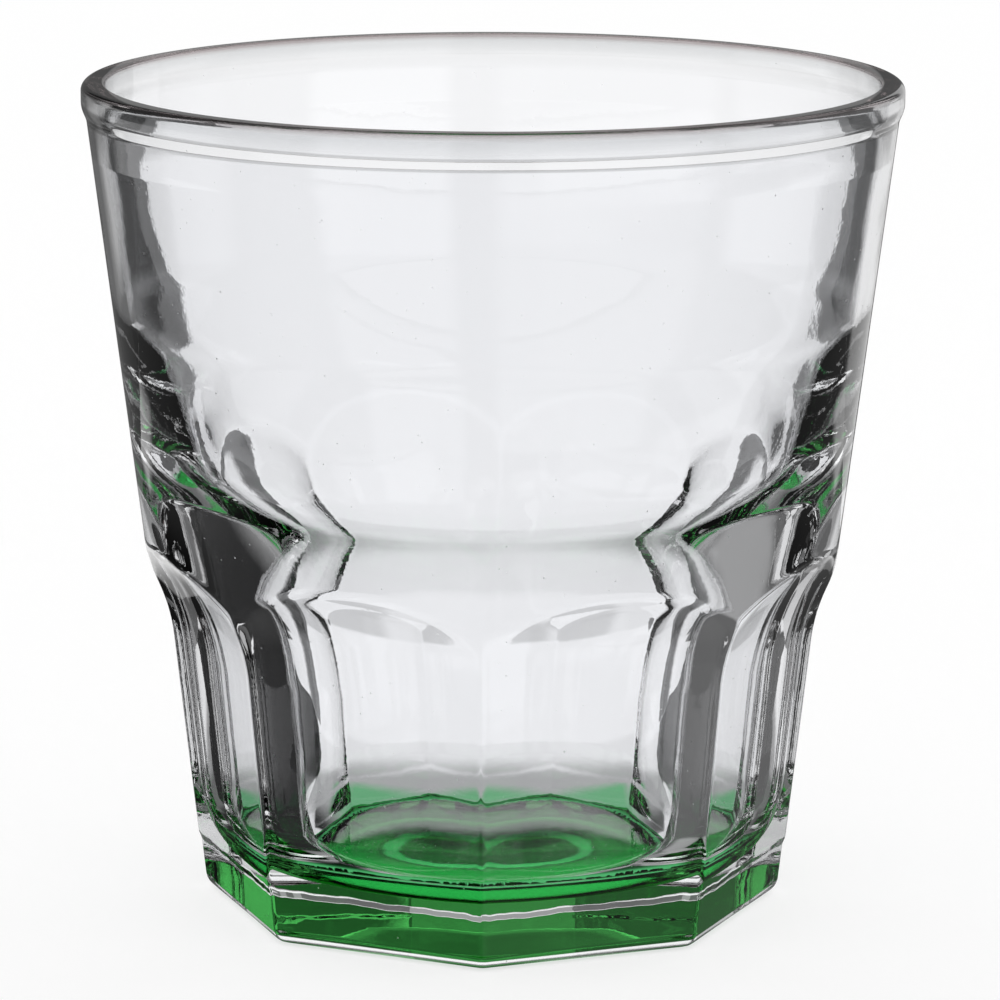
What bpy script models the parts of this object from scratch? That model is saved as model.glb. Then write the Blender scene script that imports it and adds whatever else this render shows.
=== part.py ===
"""Whisky tumbler of pressed clear glass: flat panels round its lower half, a colour film under its base."""

import math

import bmesh
import bpy

# Overall size, in metres, with the table at z = 0 and the glass standing on the Z axis
HEIGHT = 0.0920
RIM_RADIUS = 0.0450

# Rim bead, which slopes in to the bowl's wall at its foot
BEAD_HEIGHT = 0.0039
BEAD_PROUD = 0.00056
BEAD_SLOPE_HEIGHT = 0.0013
BEAD_TOP_ROUND = 0.0008
BEAD_FOOT_ROUND = 0.0025
RIM_THICKNESS = 0.0026

# Bowl wall, whose outside is a cone
BOWL_DRAFT = 0.124
BOWL_WALL = 0.00165

# Flat panels, which lean out as they rise and flare into the cone in a scoop
PANEL_COUNT = 8
FOOT_ACROSS_FLATS = 0.0599
PANEL_DRAFT = 0.1049
PANEL_STRAIGHT_HEIGHT = 0.0295
SCOOP_RADIUS = 0.0192
SCOOP_SWEEP = math.radians(75.0)
RIDGE_ROUND = 0.0005
FOOT_EDGE_ROUND = 0.0017

# Joint of the mould round the foot, below which the panels stand back a little
MOULD_JOINT_HEIGHT = 0.0062
MOULD_JOINT_WIDTH = 0.0011
MOULD_STEP = 0.00022

# Inside of the bowl: an upper cone that bends in, a shoulder of two bends, a lower cone and the floor
UPPER_BEND_HEIGHT = 0.0664
UPPER_BEND_ROUND = 0.0197
SHOULDER_TOP = 0.0502
SHOULDER_TOP_WALL = 0.00453
SHOULDER_TOP_ROUND = 0.0234
SHOULDER_BOTTOM = 0.0395
SHOULDER_BOTTOM_WALL = 0.00498
SHOULDER_BOTTOM_ROUND = 0.0443
BASE_THICKNESS = 0.0061
FLOOR_EDGE_WALL = 0.0044
FLOOR_ROUND = 0.0068
FLOOR_DISH = 0.0003

# Recess under the base, inside the standing ring
RECESS_RADIUS = 0.0265
RECESS_EDGE_DEPTH = 0.0009
RECESS_CENTRE_DEPTH = 0.0012
RECESS_ROUND = 0.0005

# Colour film on the recess
COAT_THICKNESS = 0.0003
COAT_CLEARANCE = 0.0003

# Mesh fineness
TURN_STEPS = 96
ARC_STEP = math.radians(18.0)
ARC_ROW = 0.0040
SCOOP_STEPS = 10
RIDGE_SEGMENTS = 2
MERGE_DISTANCE = 1e-7
SHARP_ANGLE = math.radians(20.0)

# How far helper shapes run past the solid that they trim
OVERRUN = 0.0040

# Finishes
GLASS_ROUGHNESS = 0.02
GLASS_TRANSMISSION = 1.0
COAT_ROUGHNESS = 0.15
COAT_TRANSMISSION = 0.6
GLASS_COLOUR = (0.93, 0.95, 0.95, 1.0)
COAT_COLOUR = (0.02, 0.38, 0.05, 1.0)


def outer_cone(z):
    """Radius of the bowl's outside at height z."""
    neck = HEIGHT - BEAD_HEIGHT
    return RIM_RADIUS - BEAD_PROUD - BOWL_DRAFT * (neck - z)


def panel_plane(z):
    """Distance of a panel's flat from the axis at height z."""
    return FOOT_ACROSS_FLATS / 2 + PANEL_DRAFT * z


def inner_upper(z):
    """Radius of the bowl's inside above the shoulder."""
    return outer_cone(z) - BOWL_WALL


def corner_sides(before, corner, after):
    """Unit steps from a corner back and ahead, and half of the angle between them."""
    (x0, z0), (x1, z1), (x2, z2) = before, corner, after
    side_back = math.hypot(x0 - x1, z0 - z1)
    side_ahead = math.hypot(x2 - x1, z2 - z1)
    back = ((x0 - x1) / side_back, (z0 - z1) / side_back)
    ahead = ((x2 - x1) / side_ahead, (z2 - z1) / side_ahead)
    cosine = back[0] * ahead[0] + back[1] * ahead[1]
    return back, ahead, math.acos(max(-1.0, min(1.0, cosine))) / 2


def corner_arc(before, corner, after, tangent):
    """Points of the arc that rounds a corner and starts at a tangent length from it."""
    back, ahead, half = corner_sides(before, corner, after)
    turn = math.pi - 2 * half
    radius = tangent * math.tan(half)
    middle = (back[0] + ahead[0], back[1] + ahead[1])
    reach = radius / math.sin(half) / math.hypot(*middle)
    centre_x = corner[0] + middle[0] * reach
    centre_z = corner[1] + middle[1] * reach
    start_x = corner[0] + back[0] * tangent - centre_x
    start_z = corner[1] + back[1] * tangent - centre_z
    side = 1.0 if back[0] * ahead[1] - back[1] * ahead[0] < 0 else -1.0
    steps = max(1, math.ceil(turn / ARC_STEP), math.ceil(turn * radius / ARC_ROW))
    points = []
    for step in range(steps + 1):
        angle = side * turn * step / steps
        x = start_x * math.cos(angle) - start_z * math.sin(angle)
        z = start_x * math.sin(angle) + start_z * math.cos(angle)
        points.append((centre_x + x, centre_z + z))
    return points


def rounded_outline(corners):
    """Outline through corners (x, z, radius); neighbouring arcs share a side that is too short for both."""
    places = [corner[:2] for corner in corners]
    tangents = [0.0] * len(corners)
    for number in range(1, len(corners) - 1):
        half = corner_sides(*places[number - 1:number + 2])[2]
        tangents[number] = corners[number][2] / math.tan(half)
    shares = [1.0]
    for number in range(len(corners) - 1):
        wanted = tangents[number] + tangents[number + 1]
        side = math.dist(places[number], places[number + 1])
        shares.append(min(1.0, side / wanted) if wanted > 0 else 1.0)
    points = [places[0]]
    for number in range(1, len(corners) - 1):
        tangent = tangents[number] * min(shares[number], shares[number + 1])
        if tangent > 0:
            points += corner_arc(*places[number - 1:number + 2], tangent)
        else:
            points.append(places[number])
    points.append(places[-1])
    return points


def make_object(name, mesh_builder):
    """New object in the scene from a mesh with closed faces that point outwards."""
    mesh = bpy.data.meshes.new(name)
    bmesh.ops.recalc_face_normals(mesh_builder, faces=mesh_builder.faces)
    mesh_builder.to_mesh(mesh)
    mesh_builder.free()
    new_object = bpy.data.objects.new(name, mesh)
    bpy.context.scene.collection.objects.link(new_object)
    return new_object


def turn_outline(name, outline):
    """Solid of revolution about Z from an outline that starts and ends on the axis."""
    shape = bmesh.new()
    verts = [shape.verts.new((x, 0.0, z)) for x, z in outline]
    edges = [shape.edges.new(pair) for pair in zip(verts, verts[1:])]
    bmesh.ops.spin(
        shape,
        geom=verts + edges,
        cent=(0.0, 0.0, 0.0),
        axis=(0.0, 0.0, 1.0),
        angle=math.tau,
        steps=TURN_STEPS,
        use_merge=True,
    )
    bmesh.ops.remove_doubles(shape, verts=shape.verts, dist=MERGE_DISTANCE)
    return make_object(name, shape)


def panel_outline():
    """Outline of the panels at mid-width: foot edge, mould joint, flat and scoop, then clear of the bowl."""
    joint_low = MOULD_JOINT_HEIGHT - MOULD_JOINT_WIDTH / 2
    joint_high = MOULD_JOINT_HEIGHT + MOULD_JOINT_WIDTH / 2
    points = rounded_outline([
        (0.0, 0.0, 0.0),
        (panel_plane(0.0) - MOULD_STEP, 0.0, FOOT_EDGE_ROUND),
        (panel_plane(joint_low) - MOULD_STEP, joint_low, 0.0),
    ])[1:]
    points.append((panel_plane(joint_high), joint_high))
    for step in range(SCOOP_STEPS + 1):
        angle = SCOOP_SWEEP * step / SCOOP_STEPS
        z = PANEL_STRAIGHT_HEIGHT + SCOOP_RADIUS * math.sin(angle)
        points.append((panel_plane(z) + SCOOP_RADIUS * (1 - math.cos(angle)), z))
    widest = max(points[-1][0], RIM_RADIUS) + OVERRUN
    points.append((widest, points[-1][1]))
    points.append((widest, max(HEIGHT, points[-1][1]) + OVERRUN))
    return points


def make_panel_block():
    """Many-sided block with flared sides, one ridge towards -Y; what lies inside it is glass."""
    half_side = math.pi / PANEL_COUNT
    shape = bmesh.new()
    rings = []
    for flat, z in panel_outline():
        radius = flat / math.cos(half_side)
        ring = []
        for side in range(PANEL_COUNT):
            angle = -math.pi / 2 + 2 * half_side * side
            ring.append(shape.verts.new((radius * math.cos(angle), radius * math.sin(angle), z)))
        rings.append(ring)
    for lower, upper in zip(rings, rings[1:]):
        for side in range(PANEL_COUNT):
            following = (side + 1) % PANEL_COUNT
            shape.faces.new((lower[side], lower[following], upper[following], upper[side]))
    shape.faces.new(rings[0])
    shape.faces.new(rings[-1])
    ridges = []
    for under, over in zip(rings, rings[1:]):
        ridges += [shape.edges.get(pair) for pair in zip(under, over)]
    bmesh.ops.bevel(
        shape,
        geom=ridges,
        offset=RIDGE_ROUND,
        offset_type="OFFSET",
        segments=RIDGE_SEGMENTS,
        profile=0.5,
        affect="EDGES",
    )
    block = make_object("panel_block", shape)
    block.hide_render = True
    block.display_type = "WIRE"
    return block


def body_outline():
    """Half section of the body before its panels, from the underside's centre round to the floor's."""
    neck = HEIGHT - BEAD_HEIGHT
    below_bead = neck - BEAD_HEIGHT
    rim_inside = RIM_RADIUS - RIM_THICKNESS
    shoulder_top = outer_cone(SHOULDER_TOP) - SHOULDER_TOP_WALL
    shoulder_bottom = panel_plane(SHOULDER_BOTTOM) - SHOULDER_BOTTOM_WALL
    floor_edge = panel_plane(BASE_THICKNESS) - FLOOR_EDGE_WALL
    return rounded_outline([
        (0.0, RECESS_CENTRE_DEPTH, 0.0),
        (RECESS_RADIUS, RECESS_EDGE_DEPTH, RECESS_ROUND),
        (RECESS_RADIUS, -OVERRUN, 0.0),
        (outer_cone(-OVERRUN), -OVERRUN, 0.0),
        (outer_cone(neck), neck, BEAD_FOOT_ROUND),
        (RIM_RADIUS, neck + BEAD_SLOPE_HEIGHT, BEAD_FOOT_ROUND),
        (RIM_RADIUS, HEIGHT, BEAD_TOP_ROUND),
        (rim_inside, HEIGHT, BEAD_TOP_ROUND),
        (rim_inside, neck, 0.0),
        (inner_upper(below_bead), below_bead, 0.0),
        (inner_upper(UPPER_BEND_HEIGHT), UPPER_BEND_HEIGHT, UPPER_BEND_ROUND),
        (shoulder_top, SHOULDER_TOP, SHOULDER_TOP_ROUND),
        (shoulder_bottom, SHOULDER_BOTTOM, SHOULDER_BOTTOM_ROUND),
        (floor_edge, BASE_THICKNESS, FLOOR_ROUND),
        (0.0, BASE_THICKNESS - FLOOR_DISH, 0.0),
    ])


def coat_outline():
    """Half section of the colour film, which follows the recess at its clearance."""
    edge = RECESS_RADIUS - RECESS_ROUND - COAT_CLEARANCE
    slope = (RECESS_CENTRE_DEPTH - RECESS_EDGE_DEPTH) / RECESS_RADIUS
    edge_top = RECESS_CENTRE_DEPTH - slope * edge - COAT_CLEARANCE
    centre_top = RECESS_CENTRE_DEPTH - COAT_CLEARANCE
    return [
        (0.0, centre_top - COAT_THICKNESS),
        (edge, edge_top - COAT_THICKNESS),
        (edge, edge_top),
        (0.0, centre_top),
    ]


def make_material(name, colour, roughness, transmission):
    """Principled material for one finish."""
    material = bpy.data.materials.new(name)
    material.use_nodes = True
    shader = material.node_tree.nodes["Principled BSDF"]
    shader.inputs["Base Color"].default_value = colour
    shader.inputs["Roughness"].default_value = roughness
    shader.inputs["Metallic"].default_value = 0.0
    shader.inputs["Transmission Weight"].default_value = transmission
    return material


def smooth_round_faces(finished):
    """Shade round faces smooth and keep the pressed edges sharp."""
    finished.data.shade_smooth()
    finished.data.set_sharp_from_angle(angle=SHARP_ANGLE)


def make_glass_body():
    """Pressed body: the turned solid with its panels trimmed to the block."""
    body = turn_outline("glass_body", body_outline())
    glass = make_material("clear_glass", GLASS_COLOUR, GLASS_ROUGHNESS, GLASS_TRANSMISSION)
    body.data.materials.append(glass)
    trim = body.modifiers.new("panels", "BOOLEAN")
    trim.operation = "INTERSECT"
    trim.solver = "EXACT"
    trim.object = make_panel_block()
    smooth_round_faces(body)
    return body


def make_base_colour_coat():
    """Colour film inside the recess under the base."""
    coat = turn_outline("base_colour_coat", coat_outline())
    lacquer = make_material("green_coat", COAT_COLOUR, COAT_ROUGHNESS, COAT_TRANSMISSION)
    coat.data.materials.append(lacquer)
    smooth_round_faces(coat)
    return coat


def main():
    for old in list(bpy.data.objects):
        bpy.data.objects.remove(old, do_unlink=True)
    make_glass_body()
    make_base_colour_coat()


main()
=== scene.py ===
"""Looks of the whisky tumbler: clear pressed glass with a green film under its base, on a pale table."""

import math

import bpy
import numpy as np
from mathutils import Matrix, Vector


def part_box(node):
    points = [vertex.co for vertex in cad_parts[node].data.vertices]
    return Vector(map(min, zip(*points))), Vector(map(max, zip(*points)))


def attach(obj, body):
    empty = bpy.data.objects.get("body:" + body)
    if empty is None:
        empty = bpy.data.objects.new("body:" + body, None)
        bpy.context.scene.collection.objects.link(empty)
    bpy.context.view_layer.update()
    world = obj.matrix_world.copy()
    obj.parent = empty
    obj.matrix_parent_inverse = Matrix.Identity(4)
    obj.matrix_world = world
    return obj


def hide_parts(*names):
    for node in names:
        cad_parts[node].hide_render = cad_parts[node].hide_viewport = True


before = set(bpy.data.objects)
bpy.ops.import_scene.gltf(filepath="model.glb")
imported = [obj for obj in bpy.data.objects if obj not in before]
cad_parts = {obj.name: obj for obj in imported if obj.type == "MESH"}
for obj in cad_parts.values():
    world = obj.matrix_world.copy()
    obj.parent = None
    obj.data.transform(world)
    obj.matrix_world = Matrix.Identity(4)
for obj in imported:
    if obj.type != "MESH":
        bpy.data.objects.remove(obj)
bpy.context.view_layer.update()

# Overall sizes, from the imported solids
GLASS_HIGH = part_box("glass_body")[1]
HEIGHT = GLASS_HIGH.z
RIM_RADIUS = GLASS_HIGH.x

# Rim bead, in metres as all lengths here
BEAD_HEIGHT = 0.0039
BEAD_PROUD = 0.00056
BEAD_SLOPE_HEIGHT = 0.0013
BEAD_OUTER_ROUND = 0.0009
BEAD_INNER_ROUND = 0.0003
BEAD_FOOT_ROUND = 0.0025
RIM_THICKNESS = 0.0026
NECK = HEIGHT - BEAD_HEIGHT

# Bowl wall, whose outside is a cone
BOWL_DRAFT = 0.124
BOWL_WALL = 0.00165

# Flat panels with a scoop at the top of each
PANEL_COUNT = 8
FOOT_ACROSS_FLATS = 0.0599
PANEL_DRAFT = 0.1049
PANEL_STRAIGHT_HEIGHT = 0.0295
SCOOP_RADIUS = 0.0192
SCOOP_REACH = 0.97
RIDGE_SOFTNESS = 0.00041
ARCH_SOFTNESS = 0.00064
FOOT_EDGE_ROUND = 0.0017

# Joint of the mould round the foot, below which the foot stands back a little
MOULD_JOINT_HEIGHT = 0.0062
MOULD_JOINT_WIDTH = 0.0011
MOULD_JOINT_WAVE = 0.00006
MOULD_JOINT_WAVES = ((23, 0.0), (41, 1.0), (97, 2.0))
MOULD_STEP = 0.00022

# Inside of the bowl: an upper cone, a shoulder of two bends, a lower cone and the floor
UPPER_BEND_HEIGHT = 0.0664
UPPER_BEND_ROUND = 0.0197
SHOULDER_TOP = 0.0502
SHOULDER_MIDDLE = 0.0479
SHOULDER_MIDDLE_RADIUS = 0.0339
SHOULDER_SLOPE = 0.57
SHOULDER_BOTTOM = 0.0395
FLOOR_EDGE_RADIUS = 0.0262
BASE_THICKNESS = 0.0061
FLOOR_ROUND = 0.0068
FLOOR_DISH = 0.0003

# Recess under the base; the whole underside carries the green lacquer
RECESS_RADIUS = 0.0265
RECESS_EDGE_DEPTH = 0.0009
RECESS_CENTRE_DEPTH = 0.0012
RECESS_ROUND = 0.0005
LACQUERED_TILT = -0.85
FILM_GAP = 0.00004
FILM_THICKNESS = 0.00006

# Painted shade on the rolled rim: the bead's colour darkens towards its top edge to a brownish dark, for
# the dark surroundings that the rim shows
BEAD_SHADE_FROM = 0.0876
BEAD_PAINTED_SHADES = [
    (0.0, (0.975, 0.98, 0.995, 1.0)),
    (0.43, (0.93, 0.935, 0.945, 1.0)),
    (0.82, (0.76, 0.77, 0.78, 1.0)),
    (0.93, (0.42, 0.37, 0.37, 1.0)),
    (1.0, (0.14, 0.09, 0.09, 1.0)),
]

# Faint ripple, fine peel and dust on the clear glass
GLASS_IOR = 1.52
RIPPLE_SCALE = 120.0
PEEL_SCALE = 1400.0
PEEL_SHARE = 0.05
BUMP_STRENGTH = 0.03
BUMP_DISTANCE = 0.001
DUST_SCALE = 420.0
DUST_SIZE = (0.025, 0.055)
DUST_ROUGHNESS = 0.7

# Lacquer under the base, which is thin in one ring round its middle
LACQUER_MIRRORED = (0.09, 0.60, 0.12, 1.0)
LACQUER_DISC = (0.08, 0.27, 0.11, 1.0)
LACQUER_EDGE = (0.08, 0.46, 0.16, 1.0)
LACQUER_BARE = (0.34, 0.92, 0.52, 1.0)
BARE_RING_FROM = 0.0088
BARE_RING_TO = 0.0116
BARE_RING_SOFTNESS = 0.0006
EDGE_COLOUR_WIDTH = 0.002
CLOUD_SCALE = 260.0
CLOUD_SHIFT = 0.003
FILM_COLOUR = (0.28, 0.98, 0.45, 1.0)
FILM_ROUGHNESS = 0.1
FILM_IOR = 1.5

# Mesh fineness
STEPS_PER_PANEL = 50
GLASS_STEPS = STEPS_PER_PANEL * PANEL_COUNT
FILM_STEPS = GLASS_STEPS // 4
ARC_STEP = math.radians(7.0)
ARC_ROW = 0.0008
FINE_ROW = 0.00033
COARSE_ROW = 0.0030
FOOT_ROUND_STEP = 15
MOULD_JOINT_ROWS = 13
MOULD_JOINT_REACH = 0.9
PRESSED_FROM = 0.0275
PRESSED_TO = 0.0462
MERGE_DISTANCE = 0.000002
RIDGE_TOLERANCE = 1e-6

# Passes through the glass's surface by which a ray has crossed one wall or both
PASSES_OF_ONE_WALL = 2
PASSES_OF_BOTH_WALLS = 4

# Plain white of the stage
WHITE = (1.0, 1.0, 1.0, 1.0)

# Soft boxes round the glass: level, bearing, half width, soft edge, lowest and highest angle, soft height
SOFT_BOXES = {
    "left": (0.90, -73.0, 27.0, 5.0, -6.0, 8.0, 0.03),
    "right": (0.60, 70.0, 16.0, 5.0, -6.0, 6.0, 0.03),
    "right front": (1.00, 143.0, 22.0, 4.0, -5.0, 40.0, 0.08),
    "low right front": (0.20, 143.0, 22.0, 4.0, -45.0, -5.0, 0.08),
    "left front": (0.75, -145.0, 35.0, 5.0, 4.0, 45.0, 0.05),
    "low right back": (0.35, 52.0, 24.0, 8.0, -60.0, -25.0, 0.06),
}
BOX_THROUGH_BOTH_WALLS = (0.80, -45.0, 11.0, 3.0, -33.0, -18.0, 0.03)

# Rest of the surroundings; a pair says where a soft change starts and ends
DIM_LEVEL = 0.022
DIM_RIGHT_LEVEL = 0.10
DIM_RIGHT_SIDE = (-0.2, 0.2)
DIM_RIGHT_TOP = (0.3, 0.6)
OVERHEAD_LEVEL = 0.3
OVERHEAD_FROM = (0.62, 0.75)
BELOW_LEVEL = 0.3
BELOW_TO = (-0.9, -0.7)
OPEN_LEVEL = 0.9
OPEN_SIDES = (0.30, 0.50)
OPEN_TABLE_SIDES = (0.82, 0.88)
OPEN_TABLE_TOP = (-0.33, -0.29)
WALL_AHEAD = (0.70, 0.87)
WALL_BOTTOM = -0.03
WALL_TOP = 0.62
WALL_SOFTNESS = 0.006
WALL_SHADE = 0.29
WALL_SHADE_RIGHT_LOSS = 0.20
WALL_SHADE_FROM = (-0.005, 0.03)
WALL_SHADE_RIGHT = (-0.02, 0.10)

# Table, and the white sheet on it behind the glass; places on it are distances behind the glass's axis
TABLE_SIZE = 6.0
TABLE_DROP = 0.0001
TABLE_SHADOW_SHARE = 0.3
HARD_EDGE = 0.001
SHEET_HALF_WIDTH = 0.057
SHEET_TAPER = 0.011
SHEET_TAPER_TO = (0.055, 0.080)
SHEET_START = (0.004, 0.020)
# Painted shadow of the glass: the sheet's level is lower close behind the glass and rises away from it
SHEET_PAINTED_SHADOW_LEVEL = 0.45
SHEET_MIDDLE_GAIN = 0.43
SHEET_MIDDLE = (0.036, 0.054)
SHEET_FAR_GAIN = 0.12
SHEET_FAR = (0.05, 0.13)
SHEET_FLARE = 0.100
SHEET_FLARE_FROM_FOOT = 0.015
SHEET_FLARE_PAST_CARD = 3.0
SHEET_FLARE_START = (0.05, 0.075)

# The same sheet as the rays that leave through the foot see it
FOOT_NEAR_LEVEL = 0.17
FOOT_MIDDLE_GAIN = 0.20
FOOT_MIDDLE = (0.052, 0.070)
FOOT_FAR_GAIN = 0.63
FOOT_FAR = (0.080, 0.100)

# Table right under the glass in painted shade that lightens towards the front, painted green light that the
# lacquer throws behind it, and the table far beside it
UNDER_EDGE = (0.028, 0.031)
UNDER_SHADE_LEVEL = 0.70
UNDER_FRONT_GAIN = 0.30
UNDER_FRONT_TO = (-0.012, -0.004)
GREEN_LIGHT_BACK = (0.029, 0.034)
GREEN_LIGHT_SIDE = (0.022, 0.028)
PAINTED_GREEN_LIGHT_STOPS = [(0.0, WHITE), (1.0, (0.35, 1.0, 0.5, 1.0))]
BESIDE_LEVEL = 0.12
BESIDE_FROM = (0.12, 0.16)

# White card at the sheet's end, for the rays that the glass mirrors inside or that leave through its foot
CARD_DISTANCE = 0.170
CARD_HEIGHT = 0.200
CARD_TOP_SOFTNESS = 0.02
CARD_SIDE_SOFTNESS = 0.01
CARD_STRIP_TOP = (0.010, 0.016)
CARD_STRIP_SIDE = (0.095, 0.105)
CARD_MIRRORED_LOSS = 0.95
CARD_MIRRORED_FROM = (0.024, 0.050)
CARD_MIRRORED_AGAIN_LOSS = 0.85
CARD_FOOT_LEVEL = 0.35
CARD_FOOT_SIDE = (0.053, 0.055)
CARD_FOOT_LEAST = 0.14

# Pale wings at the card's sides, which stand lower than the card
WING_START = 0.125
WING_END = 0.185
WING_HEIGHT = 0.100
WING_SLOPE_START = 0.6 * WING_START
WING_SOFTNESS = 0.025
WING_LEVEL = 0.45
WING_LOW = (0.015, 0.030)
RIGHT_WING_LEVEL = 0.80
RIGHT_WING_FROM = (0.072, 0.080)
TABLE_WING_SOFTNESS = 0.008
TABLE_WING_FROM = (0.12, 0.14)

# Dark flags between the glass and the card
FLAG_DISTANCE = 0.075
FLAG_SHIFT = 0.0012
FLAG_EDGE = 0.0006
FLAG_INNER = 0.0512
FLAG_BULGE = 0.0075
FLAG_BULGE_FROM = (0.022, 0.042)
FLAG_BULGE_TO = (0.048, 0.066)
FLAG_BORDER = 0.0042
FLAG_UPPER_FROM = (0.022, 0.032)
FLAG_OUTER = 0.069
FLAG_OUTER_SOFTNESS = 0.004
FLAG_OUTER_FROM = (0.038, 0.046)
FLAG_LOW_OUTER = (0.066, 0.076)
FLAG_TOP = (0.100, 0.110)

# Levels of the flags as the glass shows them
FLAG_LEVEL = 0.045
FLAG_LOW_LEVEL = 0.20
FLAG_BORDER_LEVEL = 0.20
FLAG_RIGHT_LEVEL = 0.05
FLAG_RIGHT_SIDE = (-0.02, 0.02)

# Camera, fitted to the photograph's frame
LENS = 188.8
CAMERA_BEARING = math.radians(1.71)
CAMERA_TILT = math.radians(90.0 - 11.765)
CAMERA_ROLL = math.radians(0.119)
CAMERA_PLACE = (0.00086, -0.57103, 0.163876)
CAMERA_CLIP = 0.01
LIGHT_BOUNCES = 9


class Value:
    """A socket in a node tree; sums, products and the like of values add Math nodes."""

    def __init__(self, recipe, socket):
        self.recipe = recipe
        self.socket = socket

    def math(self, operation, *others):
        sockets = dict(enumerate((self,) + others))
        return self.recipe.add("ShaderNodeMath", {"operation": operation}, sockets)

    def output(self, name):
        """Another output of the node that this value comes from."""
        return Value(self.recipe, self.socket.node.outputs[name])

    def __add__(self, other):
        return self.math("ADD", other)

    __radd__ = __add__

    def __mul__(self, other):
        return self.math("MULTIPLY", other)

    __rmul__ = __mul__

    def __sub__(self, other):
        return self.math("SUBTRACT", other)

    def __rsub__(self, other):
        return (self * -1.0) + other

    def rise(self, low, high):
        """Smooth step from 0 at low to 1 at high."""
        settings = {"interpolation_type": "SMOOTHSTEP"}
        sockets = {"Value": self, "From Min": low, "From Max": high}
        return self.recipe.add("ShaderNodeMapRange", settings, sockets)

    def within(self, low, high, soft):
        """Window that is 1 between two values, with soft edges."""
        return self.rise(low - soft, low + soft) * (1 - self.rise(high - soft, high + soft))


class Recipe:
    """The node tree of one material or of the world, built from scratch."""

    def __init__(self, owner):
        owner.use_nodes = True
        self.tree = owner.node_tree
        self.tree.nodes.clear()

    def add(self, kind, settings=None, sockets=None, output=0):
        """New node: its settings first, then the values or links of its sockets."""
        node = self.tree.nodes.new(kind)
        for name, setting in (settings or {}).items():
            if name == "stops":
                self.set_stops(node.color_ramp, setting)
            else:
                setattr(node, name, setting)
        for name, value in (sockets or {}).items():
            if isinstance(value, Value):
                self.tree.links.new(value.socket, node.inputs[name])
            else:
                node.inputs[name].default_value = value
        return Value(self, node.outputs[output]) if node.outputs else None

    @staticmethod
    def set_stops(ramp, stops):
        while len(ramp.elements) < len(stops):
            ramp.elements.new(1.0)
        for element, (position, colour) in zip(ramp.elements, stops):
            element.position = position
            element.color = colour


def new_material(name):
    material = bpy.data.materials.new(name)
    return material, Recipe(material)


def outer_cone(z):
    """Radius of the bowl's outside at height z."""
    return RIM_RADIUS - BEAD_PROUD - BOWL_DRAFT * (NECK - z)


def corner_arc(before, corner, after, radius):
    """Points of the arc that rounds a corner of the section."""
    before, corner, after = (np.array(point) for point in (before, corner, after))
    back = (before - corner) / np.linalg.norm(before - corner)
    ahead = (after - corner) / np.linalg.norm(after - corner)
    half = math.acos(float(np.clip(back @ ahead, -1.0, 1.0))) / 2
    middle = (back + ahead) / np.linalg.norm(back + ahead)
    centre = corner + middle * radius / math.sin(half)
    start = corner + back * radius / math.tan(half) - centre
    turn = math.pi - 2 * half
    side = 1.0 if back[0] * ahead[1] - back[1] * ahead[0] < 0 else -1.0
    steps = max(2, math.ceil(turn / ARC_STEP), math.ceil(turn * radius / ARC_ROW))
    points = []
    for step in range(steps + 1):
        angle = side * turn * step / steps
        spoke = Matrix.Rotation(angle, 2) @ Vector(start)
        points.append((centre[0] + spoke.x, centre[1] + spoke.y))
    return points


def bend_radius(before, corner, after, reach):
    """Radius of the bend that starts at a given reach from its corner."""
    before, corner, after = (np.array(point) for point in (before, corner, after))
    back = (before - corner) / np.linalg.norm(before - corner)
    ahead = (after - corner) / np.linalg.norm(after - corner)
    return reach * math.tan(math.acos(float(back @ ahead)) / 2)


def rounded(corners):
    """Section through corners (radius, height, rounding); the ends stay as they are."""
    points = [corners[0][:2]]
    for before, corner, after in zip(corners, corners[1:], corners[2:]):
        if corner[2] > 0:
            points += corner_arc(before[:2], corner[:2], after[:2], corner[2])
        else:
            points.append(corner[:2])
    points.append(corners[-1][:2])
    return points


def divided(points, longest):
    """The same section with its long straight stretches cut into equal rows."""
    rows = [points[0]]
    for start, end in zip(points, points[1:]):
        pieces = max(1, math.ceil(math.dist(start, end) / longest))
        for piece in range(1, pieces + 1):
            share = piece / pieces
            rows.append((start[0] + (end[0] - start[0]) * share, start[1] + (end[1] - start[1]) * share))
    return rows


def underside_section():
    """Underside from its centre over the recess to the standing ring."""
    corners = [
        (0.0, RECESS_CENTRE_DEPTH, 0.0),
        (RECESS_RADIUS, RECESS_EDGE_DEPTH, RECESS_ROUND),
        (RECESS_RADIUS, 0.0, RECESS_ROUND / 2),
        (FOOT_ACROSS_FLATS / 2 - 2 * FOOT_EDGE_ROUND, 0.0, 0.0),
    ]
    return divided(rounded(corners), COARSE_ROW)


def outer_section():
    """Outside of the blank, from the table to the neck, with close rows where the panels are pressed in."""
    angles = [math.radians(angle) for angle in range(0, 91, FOOT_ROUND_STEP)]
    foot_rows = [FOOT_EDGE_ROUND * (1 - math.cos(angle)) for angle in angles]
    foot = [(outer_cone(z), z) for z in foot_rows]
    joint_shares = np.linspace(-MOULD_JOINT_REACH, MOULD_JOINT_REACH, MOULD_JOINT_ROWS)
    joint_rows = joint_shares * MOULD_JOINT_WIDTH + MOULD_JOINT_HEIGHT
    joint = [(outer_cone(z), z) for z in joint_rows]
    low = divided([foot[-1]] + joint + [(outer_cone(PRESSED_FROM), PRESSED_FROM)], COARSE_ROW)
    pressed = divided([low[-1], (outer_cone(PRESSED_TO), PRESSED_TO)], FINE_ROW)
    return foot + low[1:] + pressed[1:]


def shoulder_line(z):
    """Radius of the straight line through the shoulder's middle, on which both of its corners lie."""
    return SHOULDER_MIDDLE_RADIUS + SHOULDER_SLOPE * (z - SHOULDER_MIDDLE)


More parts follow.
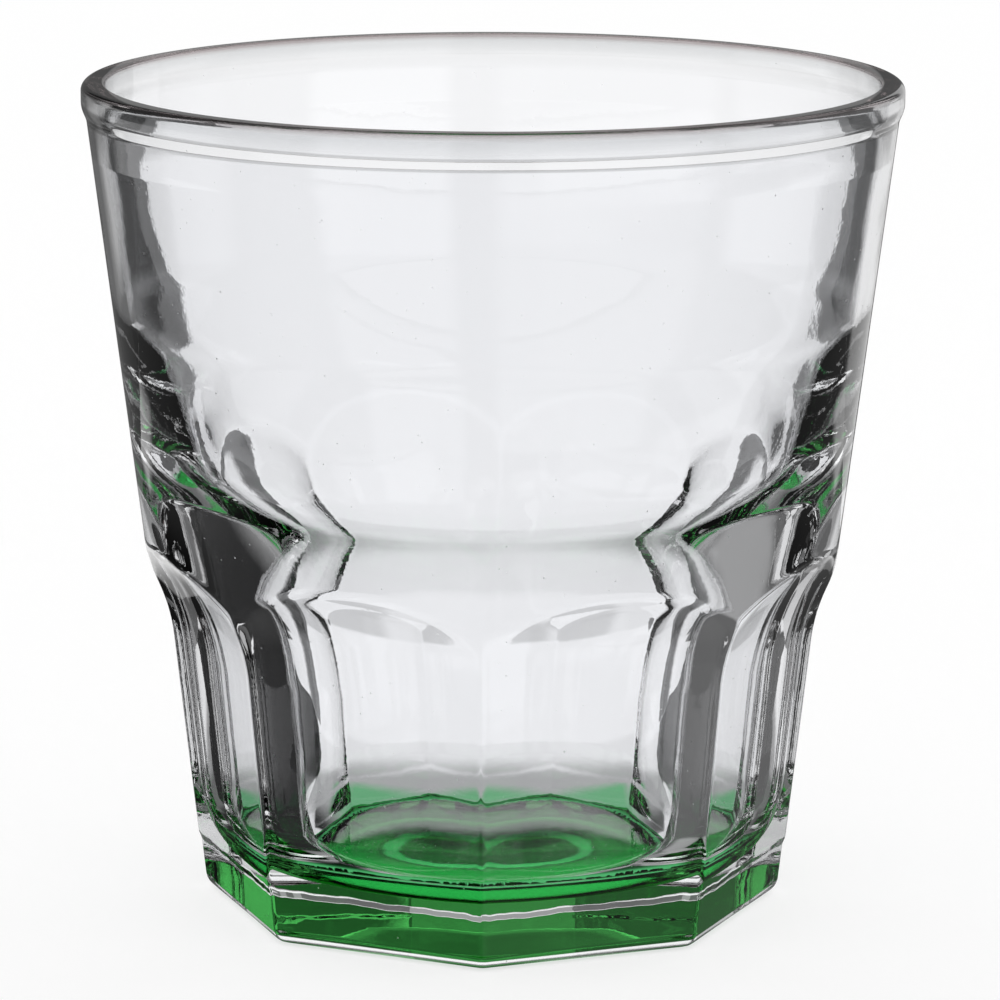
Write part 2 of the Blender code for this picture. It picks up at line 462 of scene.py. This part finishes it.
def inner_section():
    """From the neck over the rim's bead down the inside of the bowl to the floor's centre."""
    rim_inside = RIM_RADIUS - RIM_THICKNESS
    below_bead = NECK - BEAD_HEIGHT
    upper_bend = (outer_cone(UPPER_BEND_HEIGHT) - BOWL_WALL, UPPER_BEND_HEIGHT)
    top = (shoulder_line(SHOULDER_TOP), SHOULDER_TOP)
    middle = (SHOULDER_MIDDLE_RADIUS, SHOULDER_MIDDLE)
    bottom = (shoulder_line(SHOULDER_BOTTOM), SHOULDER_BOTTOM)
    floor_edge = (FLOOR_EDGE_RADIUS, BASE_THICKNESS)
    corners = [
        (outer_cone(PRESSED_TO), PRESSED_TO, 0.0),
        (outer_cone(NECK), NECK, BEAD_FOOT_ROUND),
        (RIM_RADIUS, NECK + BEAD_SLOPE_HEIGHT, BEAD_FOOT_ROUND),
        (RIM_RADIUS, HEIGHT, BEAD_OUTER_ROUND),
        (rim_inside, HEIGHT, BEAD_INNER_ROUND),
        (rim_inside, NECK, BEAD_FOOT_ROUND),
        (outer_cone(below_bead) - BOWL_WALL, below_bead, BEAD_FOOT_ROUND),
        upper_bend + (UPPER_BEND_ROUND,),
        top + (bend_radius(upper_bend, top, middle, math.dist(top, middle)),),
        bottom + (bend_radius(middle, bottom, floor_edge, math.dist(middle, bottom)),),
        floor_edge + (FLOOR_ROUND,),
        (0.0, BASE_THICKNESS - FLOOR_DISH, 0.0),
    ]
    return divided(rounded(corners), COARSE_ROW)[1:]


def deselect_everything():
    if bpy.context.object and bpy.context.object.mode != "OBJECT":
        bpy.ops.object.mode_set(mode="OBJECT")
    bpy.ops.object.select_all(action="DESELECT")


def turned_piece(name, section, steps):
    """Closed solid of revolution: the section drawn by extruding one point, then spun about Z."""
    deselect_everything()
    bpy.ops.mesh.primitive_plane_add(size=RIM_RADIUS, location=(0.0, 0.0, 0.0))
    piece = bpy.context.object
    piece.name = name
    piece.data.name = name
    bpy.ops.object.mode_set(mode="EDIT")
    bpy.ops.mesh.select_all(action="SELECT")
    bpy.ops.mesh.merge(type="CENTER")
    bpy.ops.transform.translate(value=(section[0][0], 0.0, section[0][1]))
    for start, end in zip(section, section[1:]):
        step = {"value": (end[0] - start[0], 0.0, end[1] - start[1])}
        bpy.ops.mesh.extrude_vertices_move(TRANSFORM_OT_translate=step)
    bpy.ops.mesh.select_all(action="SELECT")
    bpy.ops.mesh.spin(steps=steps, angle=math.tau, center=(0.0, 0.0, 0.0), axis=(0.0, 0.0, 1.0))
    bpy.ops.mesh.select_all(action="SELECT")
    bpy.ops.mesh.remove_doubles(threshold=MERGE_DISTANCE)
    bpy.ops.mesh.normals_make_consistent(inside=False)
    bpy.ops.object.mode_set(mode="OBJECT")
    bpy.ops.object.shade_smooth()
    return piece


def soft_min(first, second, softness):
    """Smaller of two lengths, blended where they are close."""
    near = np.clip(softness - np.abs(first - second), 0.0, None) / softness
    return np.minimum(first, second) - near * near * softness / 4


def panel_distance(z):
    """Distance of a panel from the axis: a leaning flat with a scoop at its top and a rounded foot."""
    rise = np.clip(z - PANEL_STRAIGHT_HEIGHT, 0.0, SCOOP_REACH * SCOOP_RADIUS)
    scoop = SCOOP_RADIUS - np.sqrt(SCOOP_RADIUS**2 - rise**2)
    below = np.clip(FOOT_EDGE_ROUND - z, 0.0, FOOT_EDGE_ROUND)
    foot = FOOT_EDGE_ROUND - np.sqrt(FOOT_EDGE_ROUND**2 - below**2)
    return FOOT_ACROSS_FLATS / 2 + PANEL_DRAFT * z + scoop - foot


def mould_step(z, bearing):
    """How far the foot stands back below the slightly wavy joint of the mould."""
    wave = MOULD_JOINT_WAVE * sum(np.sin(count * bearing + phase) for count, phase in MOULD_JOINT_WAVES)
    share = np.clip((z - MOULD_JOINT_HEIGHT - wave) / MOULD_JOINT_WIDTH + 0.5, 0.0, 1.0)
    return MOULD_STEP * (1 - share * share * (3 - 2 * share))


def press_panels(piece):
    """Presses the flat panels into the blank, with a ridge towards -Y and points close at the ridges."""
    mesh = piece.data
    places = np.empty(len(mesh.vertices) * 3)
    mesh.vertices.foreach_get("co", places)
    places = places.reshape(-1, 3)
    radius = np.hypot(places[:, 0], places[:, 1])
    height = places[:, 2]
    panel = math.tau / PANEL_COUNT
    from_ridge = np.arctan2(places[:, 1], places[:, 0]) + math.pi / 2
    number = np.floor(from_ridge / panel + RIDGE_TOLERANCE)
    share = np.clip(2 * (from_ridge / panel - number) - 1, -1.0, 1.0)
    off_middle = panel / 2 * np.sin(math.pi / 2 * share)
    flat = panel_distance(height) - mould_step(height, from_ridge)
    this_panel = flat / np.cos(off_middle)
    next_panel = flat / np.cos(panel - np.abs(off_middle))
    pressed = soft_min(this_panel, next_panel, RIDGE_SOFTNESS)
    radius = np.where(height < NECK, soft_min(radius, pressed, ARCH_SOFTNESS), radius)
    bearing = (number + 0.5) * panel + off_middle - math.pi / 2
    places[:, 0] = radius * np.cos(bearing)
    places[:, 1] = radius * np.sin(bearing)
    mesh.vertices.foreach_set("co", places.ravel())
    mesh.update()


def object_place(recipe):
    """The node that holds the three object coordinates apart."""
    place = recipe.add("ShaderNodeTexCoord", output="Object")
    return recipe.add("ShaderNodeSeparateXYZ", None, {"Vector": place})


def clear_glass():
    """Clear pressed glass with a faint ripple, a fine peel, scattered specks of dust and painted shade that
    darkens the rim's bead towards its top edge.
    """
    material, recipe = new_material("clear_glass")
    place = recipe.add("ShaderNodeTexCoord", output="Object")
    ripple = recipe.add("ShaderNodeTexNoise", None, {"Vector": place, "Scale": RIPPLE_SCALE, "Detail": 1.0})
    peel = recipe.add("ShaderNodeTexNoise", None, {"Vector": place, "Scale": PEEL_SCALE, "Detail": 1.0})
    bump = recipe.add("ShaderNodeBump", None, {
        "Height": ripple + PEEL_SHARE * peel,
        "Strength": BUMP_STRENGTH,
        "Distance": BUMP_DISTANCE,
    })
    speck = recipe.add("ShaderNodeTexVoronoi", None, {"Vector": place, "Scale": DUST_SCALE})
    dust = 1 - speck.rise(*DUST_SIZE)
    height = object_place(recipe).output("Z")
    # painted shade: the base colour darkens up the bead towards the rim's top edge
    up_the_bead = (height - BEAD_SHADE_FROM) * (1 / (HEIGHT - BEAD_SHADE_FROM))
    bead_shade = recipe.add("ShaderNodeValToRGB", {"stops": BEAD_PAINTED_SHADES}, {"Fac": up_the_bead})
    shader = recipe.add("ShaderNodeBsdfPrincipled", None, {
        "Base Color": bead_shade,
        "Roughness": DUST_ROUGHNESS * dust,
        "IOR": GLASS_IOR,
        "Transmission Weight": 1.0,
        "Normal": bump,
    })
    recipe.add("ShaderNodeOutputMaterial", None, {"Surface": shader})
    return material


def coated_glass():
    """The underside, where the green lacquer is bonded to the glass and colours what the base reflects."""
    material, recipe = new_material("green_coated_glass")

    def lacquer(colour):
        sockets = {"Color": colour, "Roughness": 0.0, "IOR": GLASS_IOR}
        return recipe.add("ShaderNodeBsdfRefraction", None, sockets)

    place = recipe.add("ShaderNodeTexCoord", output="Object")
    parts = object_place(recipe)
    x = parts.output("X")
    y = parts.output("Y")
    cloud = recipe.add("ShaderNodeTexNoise", None, {"Vector": place, "Scale": CLOUD_SCALE, "Detail": 3.0})
    radius = (x * x + y * y).math("SQRT") + CLOUD_SHIFT * (cloud - 0.5)
    ring = radius.within(BARE_RING_FROM, BARE_RING_TO, BARE_RING_SOFTNESS)
    outside = radius.rise(BARE_RING_TO, BARE_RING_TO + EDGE_COLOUR_WIDTH)
    disc = lacquer(LACQUER_DISC)
    edge = lacquer(LACQUER_EDGE)
    bare = lacquer(LACQUER_BARE)
    passed = recipe.add("ShaderNodeMixShader", None, {"Fac": outside, 1: disc, 2: edge})
    passed = recipe.add("ShaderNodeMixShader", None, {"Fac": ring, 1: passed, 2: bare})
    mirrored = recipe.add("ShaderNodeBsdfGlossy", None, {"Color": LACQUER_MIRRORED, "Roughness": 0.0})
    gloss = recipe.add("ShaderNodeFresnel", None, {"IOR": GLASS_IOR})
    shader = recipe.add("ShaderNodeMixShader", None, {"Fac": gloss, 1: passed, 2: mirrored})
    recipe.add("ShaderNodeOutputMaterial", None, {"Surface": shader})
    return material


def green_film():
    """Translucent green lacquer."""
    material, recipe = new_material("green_lacquer")
    shader = recipe.add("ShaderNodeBsdfPrincipled", None, {
        "Base Color": FILM_COLOUR,
        "Roughness": FILM_ROUGHNESS,
        "IOR": FILM_IOR,
        "Transmission Weight": 1.0,
    })
    recipe.add("ShaderNodeOutputMaterial", None, {"Surface": shader})
    return material


def make_glass():
    section = underside_section() + outer_section() + inner_section()
    glass = turned_piece("pressed_glass", section, GLASS_STEPS)
    press_panels(glass)
    glass.data.materials.append(clear_glass())
    glass.data.materials.append(coated_glass())
    for face in glass.data.polygons:
        if face.normal.z < LACQUERED_TILT and face.center.z < FOOT_EDGE_ROUND:
            face.material_index = 1
    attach(glass, "root")
    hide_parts("glass_body")


def make_film():
    edge = RECESS_RADIUS - 2 * RECESS_ROUND
    edge_height = RECESS_CENTRE_DEPTH - (RECESS_CENTRE_DEPTH - RECESS_EDGE_DEPTH) * edge / RECESS_RADIUS
    top = -FILM_GAP
    bottom = top - FILM_THICKNESS
    section = [
        (0.0, RECESS_CENTRE_DEPTH + bottom),
        (edge, edge_height + bottom),
        (edge, edge_height + top),
        (0.0, RECESS_CENTRE_DEPTH + top),
    ]
    film = turned_piece("green_film", divided(section, COARSE_ROW), FILM_STEPS)
    film.data.materials.append(green_film())
    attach(film, "root")
    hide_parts("base_colour_coat")


def at_least(path, count, number):
    """1 for a ray whose count of passes or reflections has reached a number, otherwise 0."""
    return path.output(count).math("GREATER_THAN", number - 0.5)


def crossed_both_walls(path):
    return at_least(path, "Transmission Depth", PASSES_OF_BOTH_WALLS)


def mirrored_in_glass(path):
    return at_least(path, "Glossy Depth", 1)


def left_unbroken(path):
    """1 for a ray that has left the glass and that nothing mirrored on its way, otherwise 0."""
    return (1 - mirrored_in_glass(path)) * at_least(path, "Transmission Depth", PASSES_OF_ONE_WALL)


def glow_over_clear(recipe, share, colour, level):
    """Shader that glows by a share and lets the rest through."""
    glow = recipe.add("ShaderNodeEmission", None, {"Color": colour, "Strength": level})
    clear = recipe.add("ShaderNodeBsdfTransparent")
    return recipe.add("ShaderNodeMixShader", None, {"Fac": share, 1: clear, 2: glow})


def studio_world():
    """Dim surroundings with soft boxes, open sides and a pale wall for the glass; white to the camera."""
    world = bpy.data.worlds.new("studio")
    bpy.context.scene.world = world
    recipe = Recipe(world)
    direction = recipe.add("ShaderNodeTexCoord", output="Generated")
    parts = recipe.add("ShaderNodeSeparateXYZ", None, {"Vector": direction})
    rise = parts.output("Z")
    bearing = parts.output("X").math("ARCTAN2", parts.output("Y"))
    ahead = bearing.math("COSINE")
    path = recipe.add("ShaderNodeLightPath", output="Is Camera Ray")
    crossed = crossed_both_walls(path)
    unbroken = left_unbroken(path)

    def soft_box(strength, middle, half_width, soft, low, high, soft_rise):
        """Glow round a bearing, between two angles above the table, in degrees."""
        off = (bearing - math.radians(middle)).math("COSINE")
        near = math.cos(math.radians(half_width - soft))
        far = math.cos(math.radians(half_width + soft))
        window = rise.within(math.sin(math.radians(low)), math.sin(math.radians(high)), soft_rise)
        return strength * (off.rise(far, near) * window)

    glows = [soft_box(*box) for box in SOFT_BOXES.values()]
    glows.append(soft_box(*BOX_THROUGH_BOTH_WALLS) * crossed)
    glows.append(OVERHEAD_LEVEL * rise.rise(*OVERHEAD_FROM))
    glows.append(BELOW_LEVEL * (1 - rise.rise(*BELOW_TO)))
    opened = OPEN_LEVEL * unbroken
    glows.append(opened * (1 - ahead.rise(*OPEN_SIDES)))
    glows.append(opened * (1 - ahead.rise(*OPEN_TABLE_SIDES)) * (1 - rise.rise(*OPEN_TABLE_TOP)))
    shaded = rise.rise(*WALL_SHADE_FROM) * crossed
    wall_level = 1 - shaded * (WALL_SHADE - WALL_SHADE_RIGHT_LOSS * bearing.rise(*WALL_SHADE_RIGHT))
    wall = ahead.rise(*WALL_AHEAD) * rise.within(WALL_BOTTOM, WALL_TOP, WALL_SOFTNESS)
    glows.append(unbroken * wall * wall_level)

    right = parts.output("X").rise(*DIM_RIGHT_SIDE)
    level = DIM_LEVEL + DIM_RIGHT_LEVEL * right * (1 - rise.rise(*DIM_RIGHT_TOP))
    for glow in glows:
        level = level.math("MAXIMUM", glow)
    plain = path.math("MAXIMUM", path.output("Is Diffuse Ray"))
    strength = plain + (1 - plain) * level
    shader = recipe.add("ShaderNodeBackground", None, {"Color": WHITE, "Strength": strength})
    recipe.add("ShaderNodeOutputWorld", None, {"Surface": shader})


def studio_floor():
    """Pale table that keeps a soft shadow; the glass shows the white sheet that lies on it at the back."""
    deselect_everything()
    bpy.ops.mesh.primitive_plane_add(size=TABLE_SIZE, location=(0.0, 0.0, -TABLE_DROP))
    floor = bpy.context.object
    floor.name = "studio_floor"
    material, recipe = new_material("pale_table")
    path = recipe.add("ShaderNodeLightPath", output="Is Camera Ray")
    plain = path.math("MAXIMUM", path.output("Is Diffuse Ray"))
    plain = plain.math("MAXIMUM", path.output("Is Shadow Ray"))
    glow = recipe.add("ShaderNodeEmission", None, {"Color": WHITE, "Strength": 1.0})
    pale = recipe.add("ShaderNodeBsdfDiffuse", None, {"Color": WHITE})
    shown = recipe.add("ShaderNodeMixShader", None, {"Fac": TABLE_SHADOW_SHARE, 1: glow, 2: pale})

    place = object_place(recipe)
    x = place.output("X")
    y = place.output("Y")
    turn_x = math.cos(CAMERA_BEARING)
    turn_y = math.sin(CAMERA_BEARING)
    across = (x * turn_x + y * turn_y).math("ABSOLUTE")
    back = y * turn_x - x * turn_y
    distance = (x * x + y * y).math("SQRT")
    crossed = crossed_both_walls(path)
    from_foot = mirrored_in_glass(path) * (1 - crossed)
    past_card = back.rise(CARD_DISTANCE, CARD_DISTANCE + HARD_EDGE)
    behind = back.rise(*SHEET_START) * (1 - past_card * (1 - left_unbroken(path)))

    beyond = across - SHEET_HALF_WIDTH + SHEET_TAPER * (1 - back.rise(*SHEET_TAPER_TO))
    sheet = (1 - beyond.rise(-HARD_EDGE, HARD_EDGE)) * behind
    widened = SHEET_FLARE + (SHEET_FLARE_FROM_FOOT - SHEET_FLARE) * from_foot
    widened = widened * back.rise(FLAG_DISTANCE, FLAG_DISTANCE + HARD_EDGE)
    widened = widened + SHEET_FLARE_PAST_CARD * past_card
    flare = (1 - (beyond - widened).rise(-HARD_EDGE, HARD_EDGE)) * behind
    wing = across.within(WING_START + TABLE_WING_SOFTNESS, WING_END, TABLE_WING_SOFTNESS)
    wing = wing * back.rise(*TABLE_WING_FROM) * behind
    under = 1 - distance.rise(*UNDER_EDGE)
    on_glass = path.output("Is Glossy Ray") * (1 - at_least(path, "Transmission Depth", 1))
    beside = across.rise(*BESIDE_FROM) * on_glass
    lit = flare.math("MAXIMUM", wing).math("MAXIMUM", under).math("MAXIMUM", beside)

    # painted shadow of the glass on the sheet close behind it
    level = SHEET_PAINTED_SHADOW_LEVEL + SHEET_MIDDLE_GAIN * back.rise(*SHEET_MIDDLE)
    level = (level + SHEET_FAR_GAIN * back.rise(*SHEET_FAR)) * sheet
    level = level.math("MAXIMUM", back.rise(*SHEET_FLARE_START) * flare)
    foot_level = FOOT_NEAR_LEVEL + FOOT_MIDDLE_GAIN * back.rise(*FOOT_MIDDLE)
    foot_level = (foot_level + FOOT_FAR_GAIN * back.rise(*FOOT_FAR)) * flare
    level = level + from_foot * (foot_level - level)
    # painted shade under the glass, lighter towards the front where more light falls in
    under_shade_level = UNDER_SHADE_LEVEL + UNDER_FRONT_GAIN * (1 - back.rise(*UNDER_FRONT_TO))
    for other in (wing, under_shade_level * under, BESIDE_LEVEL * beside):
        level = level.math("MAXIMUM", other)
    # painted green light that the lacquer throws on the table close behind the glass
    painted_green_light = (1 - back.rise(*GREEN_LIGHT_BACK)) * (1 - across.rise(*GREEN_LIGHT_SIDE))
    painted_green_light = painted_green_light * (1 - under) * crossed
    shade = recipe.add("ShaderNodeValToRGB", {"stops": PAINTED_GREEN_LIGHT_STOPS}, {"Fac": painted_green_light})
    seen_in_glass = glow_over_clear(recipe, lit, shade, level)
    shader = recipe.add("ShaderNodeMixShader", None, {"Fac": plain, 1: seen_in_glass, 2: shown})
    recipe.add("ShaderNodeOutputMaterial", None, {"Surface": shader})
    floor.data.materials.append(material)


def standing_plane(name, distance):
    """Upright plane behind the glass, square to the camera's bearing."""
    deselect_everything()
    stand = Matrix.Rotation(CAMERA_BEARING, 3, "Z") @ Vector((0.0, distance, CARD_HEIGHT))
    upright = (math.pi / 2, 0.0, CAMERA_BEARING)
    bpy.ops.mesh.primitive_plane_add(size=2 * CARD_HEIGHT, location=stand, rotation=upright)
    plane = bpy.context.object
    plane.name = name
    return plane


def white_card():
    """White card behind the glass, for rays that it mirrors inside or that leave through its foot."""
    card = standing_plane("white_card", CARD_DISTANCE)
    material, recipe = new_material("white_card")
    place = object_place(recipe)
    across = place.output("X").math("ABSOLUTE")
    height = place.output("Y") + CARD_HEIGHT
    path = recipe.add("ShaderNodeLightPath", output="Is Transmission Ray")
    crossed = crossed_both_walls(path)
    mirrored = mirrored_in_glass(path)
    mirrored_again = at_least(path, "Glossy Depth", 2)
    above_strip = height.rise(*CARD_STRIP_TOP)

    mirrored_once = (mirrored - mirrored_again) * crossed * height.rise(*CARD_MIRRORED_FROM)
    level = 1 - CARD_MIRRORED_LOSS * mirrored_once - CARD_MIRRORED_AGAIN_LOSS * mirrored_again * crossed
    wings = across.rise(WING_START - WING_SOFTNESS, WING_START + WING_SOFTNESS)
    wings = WING_LEVEL * wings * height.rise(*WING_LOW)
    right_wing = RIGHT_WING_LEVEL * place.output("X").rise(*RIGHT_WING_FROM)
    from_foot = CARD_FOOT_LEVEL * (1 - across.rise(*CARD_FOOT_SIDE))
    for other in (CARD_FOOT_LEAST, wings, right_wing):
        from_foot = from_foot.math("MAXIMUM", other)
    straight = crossed.math("MAXIMUM", (1 - mirrored) * above_strip)
    level = from_foot + straight * (level - from_foot)

    top = CARD_HEIGHT + (WING_HEIGHT - CARD_HEIGHT) * across.rise(WING_SLOPE_START, WING_START)
    inside = 1 - (height - top).rise(-CARD_TOP_SOFTNESS, CARD_TOP_SOFTNESS)
    inside = inside * (1 - across.rise(WING_END - CARD_SIDE_SOFTNESS, WING_END + CARD_SIDE_SOFTNESS))
    off_strip = above_strip.math("MAXIMUM", across.rise(*CARD_STRIP_SIDE))
    direct = (1 - mirrored) * crossed.math("MAXIMUM", off_strip)
    shown = inside * path.math("MAXIMUM", path.output("Is Glossy Ray")) * (1 - direct)
    shader = glow_over_clear(recipe, shown, WHITE, level)
    recipe.add("ShaderNodeOutputMaterial", None, {"Surface": shader})
    card.data.materials.append(material)


def dark_flags():
    """Dark flags close behind the glass, one at each side, which draw the dark bands in its walls."""
    flags = standing_plane("dark_flags", FLAG_DISTANCE)
    material, recipe = new_material("dark_flags")
    place = object_place(recipe)
    across = (place.output("X") - FLAG_SHIFT).math("ABSOLUTE")
    height = place.output("Y") + CARD_HEIGHT
    path = recipe.add("ShaderNodeLightPath", output="Is Transmission Ray")
    straight = crossed_both_walls(path) * (1 - mirrored_in_glass(path))
    bulge = height.rise(*FLAG_BULGE_FROM) * (1 - height.rise(*FLAG_BULGE_TO))
    inner = across - FLAG_INNER + FLAG_BULGE * bulge
    upper = height.rise(*FLAG_UPPER_FROM)
    beyond = (across - FLAG_OUTER).rise(-FLAG_OUTER_SOFTNESS, FLAG_OUTER_SOFTNESS)
    outer = (1 - beyond * height.rise(*FLAG_OUTER_FROM)) * (1 - across.rise(*FLAG_LOW_OUTER))
    border = 1 - (inner - FLAG_BORDER * upper).rise(-FLAG_EDGE, FLAG_EDGE)
    level = FLAG_LOW_LEVEL + (FLAG_LEVEL - FLAG_LOW_LEVEL) * upper
    level = level + (FLAG_BORDER_LEVEL - FLAG_LEVEL) * border * upper
    level = level + FLAG_RIGHT_LEVEL * place.output("X").rise(*FLAG_RIGHT_SIDE) * upper
    shape = inner.rise(-FLAG_EDGE, FLAG_EDGE) * outer * (1 - height.rise(*FLAG_TOP))
    shader = glow_over_clear(recipe, shape * straight * path, WHITE, level)
    recipe.add("ShaderNodeOutputMaterial", None, {"Surface": shader})
    flags.data.materials.append(material)


def photo_camera():
    camera = bpy.data.objects.new("photo_camera", bpy.data.cameras.new("photo_camera"))
    bpy.context.scene.collection.objects.link(camera)
    camera.data.lens = LENS
    around = Matrix.Rotation(CAMERA_BEARING, 4, "Z")
    place = Matrix.Translation(CAMERA_PLACE)
    camera.matrix_world = (
        around @ place @ Matrix.Rotation(CAMERA_TILT, 4, "X") @ Matrix.Rotation(CAMERA_ROLL, 4, "Z")
    )
    camera.data.clip_start = CAMERA_CLIP
    bpy.context.scene.camera = camera


make_glass()
make_film()
studio_world()
studio_floor()
white_card()
dark_flags()
photo_camera()
scene = bpy.context.scene
scene.view_settings.view_transform = "Standard"
scene.cycles.max_bounces = LIGHT_BOUNCES
scene.cycles.transmission_bounces = LIGHT_BOUNCES
scene.cycles.glossy_bounces = LIGHT_BOUNCES
scene.cycles.blur_glossy = 0.0
